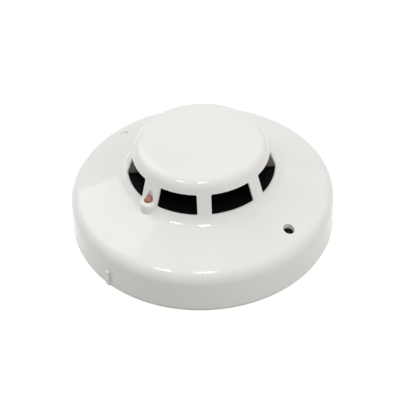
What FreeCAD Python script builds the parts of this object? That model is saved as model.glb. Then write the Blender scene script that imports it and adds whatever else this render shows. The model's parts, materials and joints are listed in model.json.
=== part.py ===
"""Point heat detector on its twist-lock mounting base.

The detector stands face up: +Z points out of the mounting surface, through the base, to the
cap of the cover.  The origin is the centre of the cable entry on the base's flat back.  The
indicator stands at -Y and the two lock-screw holes lie on the X axis.  Lengths are millimetres.
"""

import FreeCAD
import Part

import math
import os
import re

import Sketcher

Vector = FreeCAD.Vector
Rotation = FreeCAD.Rotation

# ---------------------------------------------------------------- driving dimensions

SIZES = {
    # outer cover, as radii and heights of its turned outline
    "cover_radius": (50.0, "skirt, outside, at its bottom edge"),
    "cover_wall": (2.0, "wall of the cover"),
    "skirt_draft": (0.85, "how far the skirt leans in up to the dish"),
    "shoulder_rise": (3.4, "corner of skirt and dish above the foot of the posts"),
    "shoulder_round": (4.8, "rounding of that corner"),
    "dish_width": (21.5, "dish from the skirt in to the corner where the dome begins"),
    "dish_rise": (7.4, "rise of the dish from the skirt to that corner"),
    "dome_foot_round": (5.9, "rounding of that corner"),
    "dome_wall": (1.2, "wall of the dome"),
    "dome_taper": (5.0, "how far the dome leans in up to the flat cap"),
    "dome_top_round": (4.2, "rounding of that corner"),
    "sill_rise": (2.0, "lower edge of the air windows above the dish's corner"),
    "window_height": (7.3, "air windows"),
    "window_skin": (0.6, "thin wall round the air windows, in front of the fins"),
    "cap_depth": (4.5, "flat cap above the air windows"),
    "window_corner": (0.5, "rounding of the window corners"),
    "corner_gap": (0.1, "least height from that rounding to the end of the dish corner's"),
    "skirt_edge_round": (0.4, "rounding of the skirt's bottom edge"),
    "pillar_width": (5.0, "pillar between two windows"),
    "led_pillar_width": (7.3, "pillar that carries the indicator"),
    "led_block_depth": (2.4, "thick middle of that pillar"),
    "led_block_width": (4.6, "thick middle of that pillar"),
    "rib_width": (1.6, "alignment rib on the skirt"),
    "rib_proud": (0.6, "how far that rib stands out"),
    "rib_length": (6.3, "length of that rib up the skirt"),
    "tool_hole_radius": (2.0, "hole over the first lock screw"),
    "knockout_radius": (1.6, "thin spot in the dish over the second lock screw"),
    "knockout_depth": (0.8, "bottom of that spot below the dish"),
    # posts and screws that hold the cover to the chassis
    "post_edge_gap": (0.15, "between the seat of a post and the chassis edge"),
    "post_radius": (2.7, "cover post"),
    "post_boss_height": (1.2, "seat of a post above the chassis floor"),
    "cover_screw_radius": (1.1, "shank of a cover screw"),
    "cover_screw_length": (4.8, "shank of a cover screw"),
    "cover_screw_head_radius": (2.3, "head of a cover screw"),
    "cover_screw_head": (1.6, "head of a cover screw"),
    "screw_head_sink": (0.4, "cover screw heads below the chassis floor's face"),
    "pilot_spare": (0.3, "hole beyond the tip of its screw"),
    "screw_clearance": (0.3, "radial gap round a screw in a plain hole"),
    "post_seat_wall": (0.5, "seat wider than the cover post it carries"),
    "small_slot": (0.5, "driver slot in the cover and board screws"),
    # mounting base
    "base_plate": (2.0, "floor of the base"),
    "base_lip": (0.7, "lip under the edge of the cover"),
    "lip_setback": (0.5, "how far the lip stands behind the skirt"),
    "seam_gap": (0.2, "seam between lip and skirt"),
    "collar_setback": (0.85, "bayonet collar behind the chassis edge"),
    "collar_wall": (1.8, "wall of the collar"),
    "collar_height": (6.6, "collar above the floor of the base"),
    "ledge_gap": (0.5, "between ledges and the bayonet wall"),
    "ledge_thickness": (1.6, "bayonet ledge"),
    "ledge_arc": (14.0, "degrees of arc of a ledge"),
    "stop_arc": (1.9, "degrees of arc of the stop beside each ledge"),
    "stop_overlap": (0.3, "degrees by which stop and ledge overlap"),
    "socket_radius": (2.8, "boss under each lock screw"),
    "socket_bite": (0.2, "that boss run into the collar"),
    "socket_drop": (2.2, "top of that boss below the collar's"),
    "socket_depth": (3.0, "blind hole in that boss"),
    "cable_entry_radius": (10.0, "hole for the cable"),
    "cable_rim_wall": (1.5, "rim round the cable entry"),
    "cable_rim_height": (2.0, "that rim above the floor of the base"),
    "slot_ring": (30.0, "radius of the middle of each fixing slot"),
    "slot_length": (9.0, "fixing slot from end to end"),
    "slot_width": (4.5, "fixing slot"),
    # terminals and spring contacts of the base
    "terminal_setback": (3.7, "between the wire clamps and the bayonet wall"),
    "terminal_seat_height": (1.0, "seat under a spring contact"),
    "terminal_seat_length": (9.4, "seat along the radius"),
    "terminal_seat_width": (9.0, "seat across the radius"),
    "strip_thickness": (0.5, "sheet of the spring contacts"),
    "strip_width": (6.0, "width of the spring contacts"),
    "contact_reach": (10.0, "from the terminal screw in to where spring and pad meet"),
    "contact_crest": (1.2, "flat crest of the spring"),
    "contact_tip": (1.8, "tip of the spring beyond its crest"),
    "contact_tip_drop": (1.0, "how far that tip turns down"),
    "contact_bend_gap": (0.3, "between the wire clamp and the spring's bend"),
    "clamp_side": (7.6, "square wire clamp"),
    "clamp_thickness": (0.8, "wire clamp"),
    "clamp_lip": (0.8, "height of the wire clamp's turned-up edges"),
    "clamp_lip_width": (0.7, "width of those edges"),
    "terminal_screw_radius": (1.65, "thread of a terminal screw"),
    "terminal_head_radius": (2.8, "head of a terminal screw"),
    "terminal_head": (2.0, "head of a terminal screw"),
    "terminal_shank": (3.8, "thread of a terminal screw"),
    "driver_slot": (0.9, "slot in a terminal screw"),
    "driver_slot_depth": (1.1, "that slot"),
    # chassis of the head
    "floor_gap": (0.4, "running gap over the collar"),
    "floor_thickness": (1.8, "floor of the chassis"),
    "chassis_clearance": (0.3, "between chassis edge and cover"),
    "edge_height": (1.0, "stiffening edge above the floor"),
    "edge_wall": (1.5, "stiffening edge"),
    "bayonet_gap": (0.8, "between the bayonet wall and the lock-screw sockets"),
    "bayonet_wall": (1.5, "that wall"),
    "lug_end_gap": (1.7, "between the lugs and the collar"),
    "lug_thickness": (1.9, "bayonet lug"),
    "lug_arc": (11.0, "degrees of arc of a lug"),
    "lug_gap": (0.3, "running gap between lug and ledge"),
    "bayonet_azimuth": (30.0, "degrees round from +X to the first lug"),
    "lock_boss_radius": (3.2, "boss round each lock screw"),
    "lock_boss_height": (2.2, "that boss above the chassis floor"),
    "lock_screw_radius": (1.45, "thread of a lock screw"),
    "lock_screw_length": (7.2, "thread of a lock screw, up to just under the dish"),
    "lock_tip_radius": (1.1, "plain tip of a lock screw"),
    "lock_tip_length": (1.0, "plain tip of a lock screw"),
    "lock_slot_width": (0.6, "slot in a lock screw"),
    "lock_slot_depth": (1.2, "slot in a lock screw"),
    "lock_chamfer": (0.25, "chamfer round the top of a lock screw"),
    "lock_slot_turn": (35.0, "degrees from +X to the first screw's slot"),
    "lock_lift": (0.5, "tip above its socket while unlocked"),
    "thread_gap": (0.05, "radial gap round a screw thread"),
    # circuit board and what holds it
    "standoff_height": (3.2, "board above the chassis floor"),
    "standoff_radius": (2.6, "board standoff"),
    "standoff_inset": (4.0, "standoffs inside the board's edge"),
    "board_gap": (1.4, "between the board and the lock-screw bosses"),
    "board_thickness": (1.6, "circuit board"),
    "board_screw_radius": (0.95, "shank of a board screw"),
    "board_screw_length": (4.4, "shank of a board screw"),
    "board_screw_head_radius": (2.1, "head of a board screw"),
    "board_screw_head": (1.4, "head of a board screw"),
    "pad_length": (4.0, "contact pad along the radius"),
    "pad_width": (6.4, "contact pad across the radius"),
    "pad_thickness": (0.7, "contact pad"),
    "contact_gap": (0.1, "between spring crest and pad"),
    "pin_radius": (0.6, "pin from contact pad to board"),
    "solder_height": (0.9, "pin and lead ends beyond the board"),
    "lead_gap": (0.1, "radial gap round pins and leads"),
    # parts on the circuit board
    "controller_length": (8.7, "microcontroller package"),
    "controller_width": (3.9, "microcontroller package"),
    "controller_height": (1.5, "microcontroller package"),
    "rectifier_length": (6.5, "bridge rectifier package"),
    "rectifier_width": (6.2, "bridge rectifier package"),
    "rectifier_height": (2.6, "bridge rectifier package"),
    "leg_reach": (1.0, "legs beyond a package"),
    "package_lift": (0.2, "package above the board"),
    "capacitor_radius": (3.15, "filter capacitor"),
    "capacitor_height": (6.2, "filter capacitor"),
    "capacitor_round": (0.5, "rounding of its top edge"),
    "varistor_radius": (3.2, "surge varistor"),
    "varistor_thickness": (2.6, "surge varistor"),
    "reference_radius": (1.0, "reference thermistor"),
    "reference_height": (2.0, "reference thermistor"),
    "resistor_length": (3.2, "chip resistor"),
    "resistor_width": (1.6, "chip resistor"),
    "resistor_height": (0.6, "chip resistor"),
    "ceramic_length": (2.0, "chip capacitor"),
    "ceramic_width": (1.25, "chip capacitor"),
    "ceramic_height": (0.9, "chip capacitor"),
    "transistor_length": (2.9, "transistor"),
    "transistor_width": (1.6, "transistor"),
    "transistor_height": (1.1, "transistor"),
    # air guide, screen and thermistors
    "deck_gap": (0.2, "between the air guide and the windows' edges"),
    "deck_thickness": (1.2, "deck of the air guide"),
    "deck_clearance": (0.3, "between deck edge and cover"),
    "fin_overlap": (0.8, "fins of the air guide above the windows"),
    "fin_depth": (2.8, "fins along the radius at their top"),
    "can_gap": (0.7, "between the contact pins and the air guide's wall"),
    "can_wall": (1.2, "wall of the air guide under its deck"),
    "deck_notch_gap": (0.4, "between the deck and the indicator boss"),
    "nose_radius": (3.0, "post in the middle of the deck"),
    "nose_height": (2.6, "that post above the deck"),
    "screen_clearance": (0.4, "between screen and fins"),
    "screen_thickness": (0.7, "screen ring"),
    "screen_rim": (0.8, "closed rims of the screen"),
    "screen_overlap": (0.7, "screen above the windows' upper edge"),
    "screen_slot": (1.2, "slots of the screen"),
    "bead_radius": (1.25, "thermistor bead"),
    "bead_height": (3.2, "thermistor bead"),
    "bead_lift": (1.6, "bead above the post"),
    "lead_radius": (0.2, "thermistor and indicator leads"),
    "lead_pitch": (1.27, "distance between two leads"),
    # indicator
    "led_inset": (0.85, "indicator inside the dome's foot"),
    "led_length": (4.4, "indicator above its rim"),
    "led_radius": (1.5, "indicator body"),
    "led_flange_radius": (1.9, "rim at the foot of the indicator"),
    "led_flange": (1.0, "that rim"),
    "led_show": (1.3, "indicator above its boss"),
    "led_gap": (0.15, "radial gap round the indicator"),
    "led_boss_radius": (3.2, "boss that holds the indicator"),
    "led_boss_rise": (1.3, "top of that boss above the window's lower edge"),
    "led_boss_depth": (5.2, "length of that boss"),
    "led_boss_round": (1.2, "rounding of its top edge"),
}

WINDOWS = 8
LUGS = 3
TERMINALS = 4
FIXING_SLOTS = 4
POSTS = 4
STANDOFFS = 3
SCREEN_SLOTS = 64

# ---------------------------------------------------------------- sizes that follow

FOLLOWS = {
    # heights of the base and the chassis, from the mounting surface up
    "collar_top": "base_plate + collar_height",
    "ledge_bottom": "collar_top - ledge_thickness",
    "lug_top": "ledge_bottom - lug_gap",
    "lug_bottom": "lug_top - lug_thickness",
    "socket_top": "collar_top - socket_drop",
    "seat_top": "base_plate + terminal_seat_height",
    "strip_top": "seat_top + strip_thickness",
    "clamp_top": "strip_top + clamp_thickness",
    "floor_bottom": "collar_top + floor_gap",
    "floor_top": "floor_bottom + floor_thickness",
    "post_bottom": "floor_top + post_boss_height",
    "cover_screw_seat": "floor_bottom + cover_screw_head + screw_head_sink",
    "cover_pilot_top": "cover_screw_seat + cover_screw_length + pilot_spare",
    "lock_boss_top": "floor_top + lock_boss_height",
    "lock_tip_bottom": "socket_top + lock_lift",
    "lock_thread_bottom": "lock_tip_bottom + lock_tip_length",
    "board_bottom": "floor_top + standoff_height",
    "board_top": "board_bottom + board_thickness",
    "board_pilot_bottom": "board_top - board_screw_length - pilot_spare",
    "pad_bottom": "floor_bottom - pad_thickness",
    "crest_top": "pad_bottom - contact_gap",
    "lead_bottom": "board_bottom - solder_height",
    "pin_top": "board_top + solder_height",
    # heights of the cover and of what stands under its windows
    "skirt_bottom": "base_lip + seam_gap",
    "shoulder_height": "post_bottom + shoulder_rise",
    "dome_foot_height": "shoulder_height + dish_rise",
    "window_sill": "dome_foot_height + sill_rise",
    "window_lintel": "window_sill + window_height",
    "cover_height": "window_lintel + cap_depth",
    "ceiling": "cover_height - cover_wall",
    "deck_top": "window_sill - deck_gap",
    "deck_bottom": "deck_top - deck_thickness",
    "nose_top": "deck_top + nose_height",
    "bead_bottom": "nose_top + bead_lift",
    "screen_top": "window_lintel + screen_overlap",
    "led_boss_top": "window_sill + led_boss_rise",
    "led_boss_bottom": "led_boss_top - led_boss_depth",
    "led_top": "led_boss_top + led_show",
    "led_flange_top": "led_top - led_length",
    "led_bottom": "led_flange_top - led_flange",
    "fin_top": "window_lintel + fin_overlap",
    "rebate_top": "fin_top + deck_gap",
    "rebate_bottom": "deck_bottom - deck_gap",
    # radii from the skirt inwards
    "skirt_inner": "cover_radius - cover_wall",
    "shoulder_radius": "cover_radius - skirt_draft",
    "shoulder_inner_radius": "shoulder_radius - cover_wall",
    "dome_foot_radius": "cover_radius - dish_width",
    "chassis_radius": "shoulder_inner_radius - chassis_clearance",
    "base_plate_radius": "chassis_radius + chassis_clearance",
    "collar_radius": "chassis_radius - collar_setback",
    "collar_inner": "collar_radius - collar_wall",
    "post_ring": "chassis_radius - edge_wall - post_edge_gap - post_seat_wall - post_radius",
    "lock_ring": "collar_inner + socket_bite - socket_radius",
    "lug_radius": "collar_inner - lug_end_gap",
    "bayonet_radius": "lock_ring - socket_radius - bayonet_gap",
    "ledge_inner": "bayonet_radius + ledge_gap",
    "board_radius": "lock_ring - lock_boss_radius - board_gap",
    "standoff_ring": "board_radius - standoff_inset",
    "terminal_ring": "bayonet_radius - bayonet_wall - terminal_setback - clamp_side / 2",
    "contact_ring": "terminal_ring - contact_reach",
    "can_inner": "contact_ring + pin_radius + can_gap",
    "can_radius": "can_inner + can_wall",
    "inner_parts_ring": "can_inner / 2",
    "outer_parts_ring": "(can_radius + board_radius) / 2",
    # slopes and radii of the dish and the dome
    "dome_top_radius": "dome_foot_radius - dome_taper",
    "dish_slope": "dish_rise / (shoulder_radius - dome_foot_radius)",
    "dome_slope": "dome_taper / (cover_height - dome_foot_height)",
    "lock_dish_height": "shoulder_height + (shoulder_radius - lock_ring) * dish_slope",
    "knockout_floor": "lock_dish_height - knockout_depth",
    "shoulder_inner_height": "shoulder_height + dish_slope * cover_wall - cover_wall",
    "foot_turn": "sqrt((1 + dish_slope ^ 2) * (1 + dome_slope ^ 2)) + dish_slope + dome_slope",
    "foot_round_rise": "dome_foot_round * (1 - dish_slope * dome_slope)"
    " / (foot_turn * sqrt(1 + dome_slope ^ 2))",
    "corner_room": "foot_round_rise - sill_rise - corner_gap",
    "foot_drop": "(cover_wall - dish_slope * dome_wall) / (1 - dish_slope * dome_slope)",
    "foot_inner_height": "dome_foot_height - foot_drop",
    "dome_inner_foot": "dome_foot_radius - dome_wall",
    "foot_inner_radius": "dome_inner_foot + foot_drop * dome_slope",
    "ceiling_radius": "dome_inner_foot - (ceiling - dome_foot_height) * dome_slope",
    "low_lean": "(rebate_bottom - dome_foot_height) * dome_slope",
    "high_lean": "(rebate_top - dome_foot_height) * dome_slope",
    "deck_lean": "(deck_top - dome_foot_height) * dome_slope",
    "deck_radius": "dome_foot_radius - window_skin - deck_clearance - deck_lean",
    "fin_outer_top": "deck_radius - (fin_top - deck_top) * dome_slope",
    "screen_radius": "fin_outer_top - fin_depth",
    "led_ring": "dome_foot_radius - led_inset",
    "led_bore_radius": "led_radius + led_gap",
}

doc = FreeCAD.newDocument("heat_detector")
sheet = doc.addObject("Spreadsheet::Sheet", "Sizes")
for row, (alias, (size, note)) in enumerate(SIZES.items(), start=1):
    sheet.set(f"A{row}", alias)
    sheet.set(f"B{row}", str(size))
    sheet.setAlias(f"B{row}", alias)
    sheet.set(f"C{row}", note)
doc.recompute()


def bind(text, own="Derived."):
    """Writes an expression on the sheet's aliases and on the sizes that follow from them."""

    def swap(match):
        word = match.group(0)
        if word in FOLLOWS:
            return own + word
        return f"Sizes.{word}" if word in SIZES else word

    return re.sub(r"[a-z_]+", swap, str(text))


derived = doc.addObject("App::VarSet", "Derived")
for name, formula in FOLLOWS.items():
    derived.addProperty("App::PropertyFloat", name)
    derived.setExpression(name, bind(formula, own=""))
doc.recompute()


def value(text):
    """The number that an expression gives."""
    return float(sheet.evalExpression(bind(text)))


def arc(start, end, radius):
    """Arc under half a turn that bends to the left on its way from start to end."""
    chord = end - start
    bend = math.sqrt((radius / chord.Length) ** 2 - 0.25)
    centre = (start + end) / 2 + Vector(-chord.y, chord.x, 0) * bend
    circle = Part.Circle(centre, Vector(0, 0, 1), radius)
    return Part.ArcOfCircle(circle, circle.parameter(start), circle.parameter(end))


class Piece:
    """One sub-part: a PartDesign body with features whose sizes are bound to the sheet."""

    def __init__(self, label):
        self.body = doc.addObject("PartDesign::Body", label)
        self.body.Label = label
        self.origin = {f.Role: f for f in self.body.Origin.OriginFeatures}

    def sketch(self, plane, height, turn):
        """An empty sketch on a principal plane, lifted along Z and turned about Z in degrees."""
        made = self.body.newObject("Sketcher::SketchObject", f"{self.body.Name}_sketch")
        made.AttachmentSupport = [(self.origin[plane], "")]
        made.MapMode = "FlatFace"
        up = Vector(0, 0, 1) if plane == "XY_Plane" else Vector(0, 1, 0)
        made.AttachmentOffset = FreeCAD.Placement(Vector(), Rotation(up, value(turn)))
        if value(turn) != 0:
            made.setExpression("AttachmentOffset.Rotation.Angle", bind(turn))
        if height != "0":
            made.setExpression("AttachmentOffset.Base.z", bind(height))
        return made

    def pin_point(self, sketch, geometry, end, x, y):
        """Holds one point of a sketch at x, y from the sketch's origin."""
        for kind, size in (("DistanceX", x), ("DistanceY", y)):
            rule = Sketcher.Constraint(kind, -1, 1, geometry, end, value(size))
            index = sketch.addConstraint(rule)
            sketch.setExpression(f"Constraints[{index}]", bind(size))

    def outline(self, sketch, points):
        """Closed outline through corners (x, y); after (x, y, radius) comes an arc."""
        corners = [Vector(value(x), value(y), 0) for x, y, *_ in points]
        first = sketch.GeometryCount
        count = len(points)
        for i, point in enumerate(points):
            start, end = corners[i], corners[(i + 1) % count]
            side = arc(start, end, value(point[2])) if len(point) > 2 else None
            sketch.addGeometry(side or Part.LineSegment(start, end), False)
        for i in range(count):
            after = first + (i + 1) % count
            sketch.addConstraint(Sketcher.Constraint("Coincident", first + i, 2, after, 1))
        for i, (x, y, *radius) in enumerate(points):
            self.pin_point(sketch, first + i, 1, x, y)
            if radius:
                self.hold_radius(sketch, first + i, *radius)

    def hold_radius(self, sketch, geometry, radius):
        rule = sketch.addConstraint(Sketcher.Constraint("Radius", geometry, value(radius)))
        sketch.setExpression(f"Constraints[{rule}]", bind(radius))

    def circle(self, sketch, x, y, radius):
        made = Part.Circle(Vector(value(x), value(y), 0), Vector(0, 0, 1), value(radius))
        index = sketch.addGeometry(made, False)
        self.pin_point(sketch, index, 3, x, y)
        self.hold_radius(sketch, index, radius)

    def feature(self, kind, sketch, **properties):
        made = self.body.newObject(f"PartDesign::{kind}", f"{self.body.Name}_{kind.lower()}")
        made.Profile = sketch
        for name, setting in properties.items():
            setattr(made, name, setting)
        return made

    def draw(self, shapes, plane, height="0", turn="0"):
        """Sketch of circles (x, y, radius) and outlines (lists of corners)."""
        made = self.sketch(plane, height, turn)
        for shape in shapes:
            if isinstance(shape, tuple):
                self.circle(made, *shape)
            else:
                self.outline(made, shape)
        return made

    def pad(self, shapes, bottom, top, turn="0"):
        """Solid that stands between two heights."""
        made = self.feature("Pad", self.draw(shapes, "XY_Plane", bottom, turn))
        made.setExpression("Length", bind(f"({top}) - ({bottom})"))
        return made

    def cut(self, shapes, bottom, top, turn="0"):
        """Pocket between two heights, cut from the upper one down."""
        made = self.feature("Pocket", self.draw(shapes, "XY_Plane", top, turn))
        made.setExpression("Length", bind(f"({top}) - ({bottom})"))
        return made

    def across(self, shapes, width, turn="0"):
        """Solid to both sides of the XZ plane, or of that plane turned about Z."""
        sketch = self.draw(shapes, "XZ_Plane", "0", turn)
        made = self.feature("Pad", sketch, SideType="Symmetric")
        made.setExpression("Length", bind(width))
        return made

    def turned(self, points, arc=None, turn="0"):
        """Solid of revolution about Z, all round or over an arc centred on the turn."""
        sketch = self.draw([points], "XZ_Plane", "0", turn)
        made = self.feature("Revolution", sketch, ReferenceAxis=(sketch, ["V_Axis"]))
        made.Angle = 360
        if arc is not None:
            made.Midplane = True
            made.setExpression("Angle", bind(arc))
        return made

    def about_edge(self, kind, points, turn):
        """Revolution or Groove about the line between the last and the first of the points."""
        sketch = self.draw([points], "XZ_Plane", "0", turn)
        ends = (points[0], points[-1])
        corners = [Vector(value(x), value(y), 0) for x, y in ends]
        line = sketch.addGeometry(Part.LineSegment(*corners), True)
        for end, (x, y) in enumerate(ends, start=1):
            self.pin_point(sketch, line, end, x, y)
        made = self.feature(kind, sketch, ReferenceAxis=(sketch, ["Axis0"]))
        made.Angle = 360
        return made

    def repeat(self, features, count):
        """Copies of features evenly round the Z axis."""
        made = self.body.newObject("PartDesign::PolarPattern", f"{self.body.Name}_polarpattern")
        made.Originals = features
        made.Axis = (self.origin["Z_Axis"], [""])
        made.Angle = 360
        made.Occurrences = count
        self.body.Tip = made
        return made

    def soften(self, kind, size, chosen):
        """Fillet or Chamfer of the edges for which chosen(edge) is true."""
        doc.recompute()
        base = self.body.Tip
        edges = [f"Edge{i}" for i, edge in enumerate(base.Shape.Edges, start=1) if chosen(edge)]
        if not edges:
            raise RuntimeError(f"{self.body.Label}: no edge to soften")
        made = self.body.newObject(f"PartDesign::{kind}", f"{self.body.Name}_{kind.lower()}")
        made.Base = (base, edges)
        made.setExpression("Radius" if kind == "Fillet" else "Size", bind(size))
        return made

    def place(self, x="0", y="0", turn="0"):
        """Placement of the finished piece: a turn about its own Z axis in degrees, then a shift."""
        up = Vector(0, 0, 1)
        self.body.Placement = FreeCAD.Placement(Vector(), Rotation(up, value(turn)))
        self.body.setExpression("Placement.Rotation.Angle", bind(turn))
        self.body.setExpression("Placement.Base.x", bind(x))
        self.body.setExpression("Placement.Base.y", bind(y))


def box(x, y, width, depth):
    """Corners of a rectangle centred on x, y."""
    return [
        (f"{x} - ({width}) / 2", f"{y} - ({depth}) / 2"),
        (f"{x} + ({width}) / 2", f"{y} - ({depth}) / 2"),
        (f"{x} + ({width}) / 2", f"{y} + ({depth}) / 2"),
        (f"{x} - ({width}) / 2", f"{y} + ({depth}) / 2"),
    ]


def band(inner, outer, bottom, top):
    """Rectangle in a radial section."""
    return [(inner, bottom), (outer, bottom), (outer, top), (inner, top)]


def full_circle(radius, height):
    """Picks the closed circular edge with this radius at this height."""

    def chosen(edge):
        curve = edge.Curve
        return (
            isinstance(curve, Part.Circle)
            and abs(curve.Radius - value(radius)) < 1e-3
            and abs(curve.Center.z - value(height)) < 1e-3
            and math.hypot(curve.Center.x, curve.Center.y) < 1e-3
        )

    return chosen


# ---------------------------------------------------------------- outer cover

LED_PILLAR = WINDOWS * 3 // 4
LED_TURN = -90


def window(step):
    """Plan of the window after the pillar with this number, and the azimuth of its middle."""
    half = 180 / WINDOWS
    before = "led_pillar_width" if step == LED_PILLAR else "pillar_width"
    after = "led_pillar_width" if step + 1 == LED_PILLAR else "pillar_width"
    inner = "(screen_radius)"
    outer = "(dome_foot_radius + dome_foot_round / 2)"

    def side(radius, width):
        return f"({radius} * tan({half} deg) - {width} / 2 / cos({half} deg))"

    corners = [
        (inner, f"-{side(inner, before)}"),
        (outer, f"-{side(outer, before)}"),
        (outer, side(outer, after)),
        (inner, side(inner, after)),
    ]
    return corners, 360 * (step + 0.5) / WINDOWS


def make_cover_shell(cover):
    """Skirt, dish, dome and cap with their rounded corners."""
    cover.turned(
        [
            ("cover_radius", "skirt_bottom"),
            ("shoulder_radius", "shoulder_height"),
            ("dome_foot_radius", "dome_foot_height"),
            ("dome_top_radius", "cover_height"),
            ("0", "cover_height"),
            ("0", "ceiling"),
            ("ceiling_radius", "ceiling"),
            ("dome_inner_foot - high_lean", "rebate_top"),
            ("dome_foot_radius - window_skin - high_lean", "rebate_top"),
            ("dome_foot_radius - window_skin - low_lean", "rebate_bottom"),
            ("dome_inner_foot - low_lean", "rebate_bottom"),
            ("foot_inner_radius", "foot_inner_height"),
            ("shoulder_inner_radius", "shoulder_inner_height"),
            ("skirt_inner", "skirt_bottom"),
        ]
    )
    for radius, height, rounding in (
        ("shoulder_radius", "shoulder_height", "shoulder_round"),
        ("dome_foot_radius", "dome_foot_height", "dome_foot_round"),
        ("dome_top_radius", "cover_height", "dome_top_round"),
        ("shoulder_inner_radius", "shoulder_inner_height", "shoulder_round - cover_wall"),
        ("ceiling_radius", "ceiling", "dome_top_round - cover_wall"),
        ("cover_radius", "skirt_bottom", "skirt_edge_round"),
    ):
        cover.soften("Fillet", rounding, full_circle(radius, height))


def cut_windows(cover):
    """Windows through the dome, with rounded corners."""
    for step in range(WINDOWS):
        corners, azimuth = window(step)
        cover.cut([corners], "window_sill", "window_lintel", turn=azimuth)
    levels = [value("window_sill"), value("window_lintel")]

    def window_corner(edge):
        box_of = edge.BoundBox
        at_edge = min(abs(box_of.ZMin - level) for level in levels) < 1e-6
        return isinstance(edge.Curve, Part.Line) and box_of.ZLength < 1e-6 and at_edge

    cover.soften("Fillet", "min(window_corner; corner_room)", window_corner)


def add_indicator_place(cover):
    """Thick middle of one pillar, with the indicator's boss and a bore open up to the cap."""
    at = "(dome_foot_radius - (window_sill - dome_foot_height) * dome_slope)"
    lean = "(fin_top - window_sill) * dome_slope"
    skin, depth = "window_skin / 2", "led_block_depth"
    block = [
        (f"{at} - {depth}", "window_sill"),
        (f"{at} - {skin}", "window_sill"),
        (f"{at} - {skin} - {lean}", "fin_top"),
        (f"{at} - {depth} - {lean}", "fin_top"),
    ]
    cover.across([block], "led_block_width", LED_TURN)
    side, rounding = "led_ring + led_boss_radius", "led_boss_round"
    boss = [
        ("led_ring", "led_boss_bottom"),
        (side, "led_boss_bottom"),
        (side, f"led_boss_top - {rounding}", rounding),
        (f"{side} - {rounding}", "led_boss_top"),
        ("led_ring", "led_boss_top"),
    ]
    cover.about_edge("Revolution", boss, LED_TURN)
    rim, bore = "led_ring + led_flange_radius + led_gap", "led_ring + led_bore_radius"
    stepped_hole = [
        ("led_ring", "board_top"),
        (rim, "board_top"),
        (rim, "led_flange_top + led_gap"),
        (bore, "led_flange_top + led_gap"),
        (bore, "window_lintel"),
        ("led_ring", "window_lintel"),
    ]
    cover.about_edge("Groove", stepped_hole, LED_TURN)


def add_posts(cover):
    """Posts under the dish that take the cover screws."""
    turn = 180 / POSTS
    plan = cover.draw([("post_ring", "0", "post_radius")], "XY_Plane", "post_bottom", turn)
    post = cover.feature("Pad", plan, Type="UpToFirst")
    doc.recompute()
    pilot = ("post_ring", "0", "cover_screw_radius + thread_gap")
    pilot_cut = cover.cut([pilot], "post_bottom", "cover_pilot_top", turn)
    cover.repeat([post, pilot_cut], POSTS)


def add_rib(cover):
    """Alignment rib low on the skirt, below the indicator."""
    depth = "(rib_proud + cover_wall / 2)"
    plan = box("0", f"-(cover_radius + rib_proud - {depth} / 2)", "rib_width", depth)
    cover.pad([plan], "skirt_bottom", "skirt_bottom + rib_length")


def make_outer_cover():
    """One moulding: shell with posts, rib, tool hole, knock-out, windows and indicator boss."""
    cover = Piece("outer_cover")
    make_cover_shell(cover)
    add_posts(cover)
    add_rib(cover)
    cover.cut([("lock_ring", "0", "tool_hole_radius")], "post_bottom", "dome_foot_height")
    cover.cut([("-lock_ring", "0", "knockout_radius")], "knockout_floor", "dome_foot_height")
    cut_windows(cover)
    add_indicator_place(cover)
    return cover


# ---------------------------------------------------------------- chassis and its screws

POST_TURN = 180 / POSTS
TERMINAL_TURN = 180 / TERMINALS
STANDOFF_TURN = 90


def add_chassis_bosses(chassis):
    """Seats and recesses of the cover screws, lock-screw bosses, board standoffs, pin holes."""
    under, over = "floor_bottom", "post_bottom"
    seat = chassis.pad(
        [("post_ring", "0", "post_radius + post_seat_wall")], under, over, POST_TURN
    )
    head_hole = ("post_ring", "0", "cover_screw_head_radius + screw_clearance")
    recess = chassis.cut([head_hole], under, "cover_screw_seat", POST_TURN)
    shank_hole = ("post_ring", "0", "cover_screw_radius + screw_clearance")
    through = chassis.cut([shank_hole], under, over, POST_TURN)
    chassis.repeat([seat, recess, through], POSTS)
    boss = chassis.pad([("lock_ring", "0", "lock_boss_radius")], under, "lock_boss_top")
    bore = ("lock_ring", "0", "lock_screw_radius + thread_gap")
    thread = chassis.cut([bore], under, "lock_boss_top")
    chassis.repeat([boss, thread], 2)
    post = [("standoff_ring", "0", "standoff_radius")]
    standoff = chassis.pad(post, under, "board_bottom", STANDOFF_TURN)
    pilot = [("standoff_ring", "0", "board_screw_radius + thread_gap")]
    pilot_cut = chassis.cut(pilot, "board_pilot_bottom", "board_bottom", STANDOFF_TURN)
    chassis.repeat([standoff, pilot_cut], STANDOFFS)
    pin = [("contact_ring", "0", "pin_radius + lead_gap")]
    pin_hole = chassis.cut(pin, under, "floor_top", TERMINAL_TURN)
    chassis.repeat([pin_hole], TERMINALS)


def make_chassis():
    """Floor of the head, with the bayonet wall and lugs below and the standoffs above."""
    chassis = Piece("chassis")
    inner = "(bayonet_radius - bayonet_wall)"
    edge = "(chassis_radius - edge_wall)"
    chassis.turned(
        [
            ("0", "floor_bottom"),
            (inner, "floor_bottom"),
            (inner, "lug_bottom"),
            ("bayonet_radius", "lug_bottom"),
            ("bayonet_radius", "floor_bottom"),
            ("chassis_radius", "floor_bottom"),
            ("chassis_radius", "floor_top + edge_height"),
            (edge, "floor_top + edge_height"),
            (edge, "floor_top"),
            ("0", "floor_top"),
        ]
    )
    section = band("bayonet_radius - bayonet_wall / 2", "lug_radius", "lug_bottom", "lug_top")
    lug = chassis.turned(section, arc="lug_arc", turn="bayonet_azimuth")
    chassis.repeat([lug], LUGS)
    add_chassis_bosses(chassis)
    return chassis


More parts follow.
